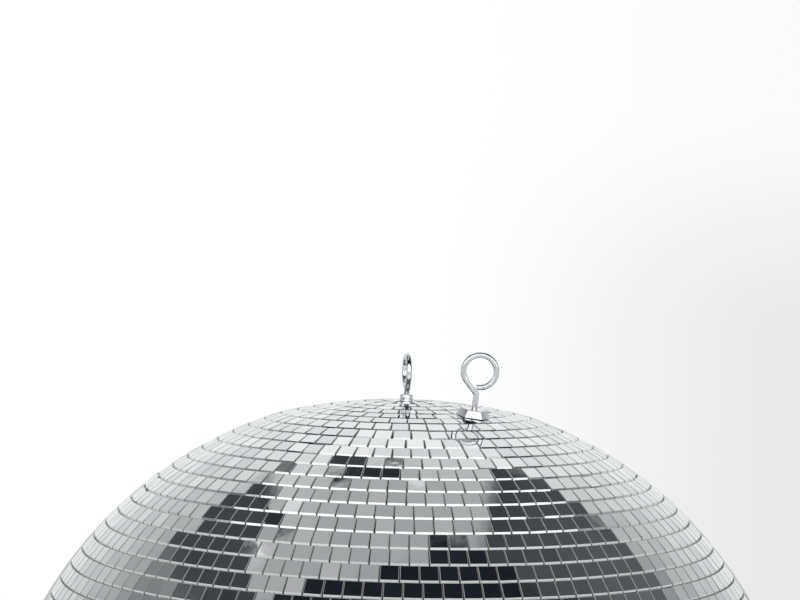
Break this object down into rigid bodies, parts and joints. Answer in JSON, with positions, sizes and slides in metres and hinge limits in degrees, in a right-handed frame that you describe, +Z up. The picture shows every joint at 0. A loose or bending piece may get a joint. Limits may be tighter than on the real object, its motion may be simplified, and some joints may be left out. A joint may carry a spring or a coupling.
{
  "type": "mirror ball",
  "caption": "Hollow sphere covered in rings of small square mirror tiles, hung from a wire eye at its pole, with a safety eye on a hexagon boss beside it.",
  "frame": {"origin": "inside top of the main eye, where a hook bears; the ball hangs below it", "axes": "+Z up along the main eye's shank and the ball's polar axis, -Y to the front, where the safety eye faces, +X to the right"},
  "size_m": [0.4999, 0.5, 0.5262],
  "materials": {
    "mirror_tiles": "silvered glass, polished face, cut edges",
    "core_plastic": "moulded, matte",
    "plate_steel": "pressed sheet, satin",
    "rivet_aluminium": "satin",
    "zinc_plate": "bright zinc plate, slightly blue"
  },
  "bodies": {
    "ball": {"mirror_band_01": "mirror_tiles", "mirror_band_02": "mirror_tiles", "mirror_band_03": "mirror_tiles", "mirror_band_04": "mirror_tiles", "mirror_band_05": "mirror_tiles", "mirror_band_06": "mirror_tiles", "mirror_band_07": "mirror_tiles", "mirror_band_08": "mirror_tiles", "mirror_band_09": "mirror_tiles", "mirror_band_10": "mirror_tiles", "mirror_band_11": "mirror_tiles", "mirror_band_12": "mirror_tiles", "mirror_band_13": "mirror_tiles", "mirror_band_14": "mirror_tiles", "mirror_band_15": "mirror_tiles", "mirror_band_16": "mirror_tiles", "mirror_band_17": "mirror_tiles", "mirror_band_18": "mirror_tiles", "mirror_band_19": "mirror_tiles", "mirror_band_20": "mirror_tiles", "mirror_band_21": "mirror_tiles", "mirror_band_22": "mirror_tiles", "mirror_band_23": "mirror_tiles", "mirror_band_24": "mirror_tiles", "mirror_band_25": "mirror_tiles", "bottom_centre_tile": "mirror_tiles", "core_upper_shell": "core_plastic", "core_lower_shell": "core_plastic", "core_joint_ring": "core_plastic", "crown_plate": "plate_steel", "crown_rivets": "rivet_aluminium", "main_bush": "zinc_plate", "main_inner_washer": "zinc_plate", "main_inner_nut": "zinc_plate", "safety_hex_boss": "zinc_plate", "safety_inner_washer": "zinc_plate", "safety_inner_nut": "zinc_plate"},
    "main_eye": {"main_eye_bolt": "zinc_plate"},
    "lock_nut": {"main_lock_nut": "zinc_plate"},
    "safety_eye": {"safety_eye_bolt": "zinc_plate"}
  },
  "joints": [
    {"name": "main_eye_turn", "type": "hinge", "parent": "ball", "child": "main_eye", "pos_m": [0, 0, -0.0258], "axis": [0, 0, 1], "continuous": true},
    {"name": "lock_nut_turn", "type": "hinge", "parent": "main_eye", "child": "lock_nut", "pos_m": [0, 0, -0.0241], "axis": [0, 0, 1], "continuous": true},
    {"name": "safety_eye_turn", "type": "hinge", "parent": "ball", "child": "safety_eye", "pos_m": [0.03979, -0.04742, -0.0317], "axis": [0.1214, -0.1447, 0.982], "continuous": true}
  ]
}
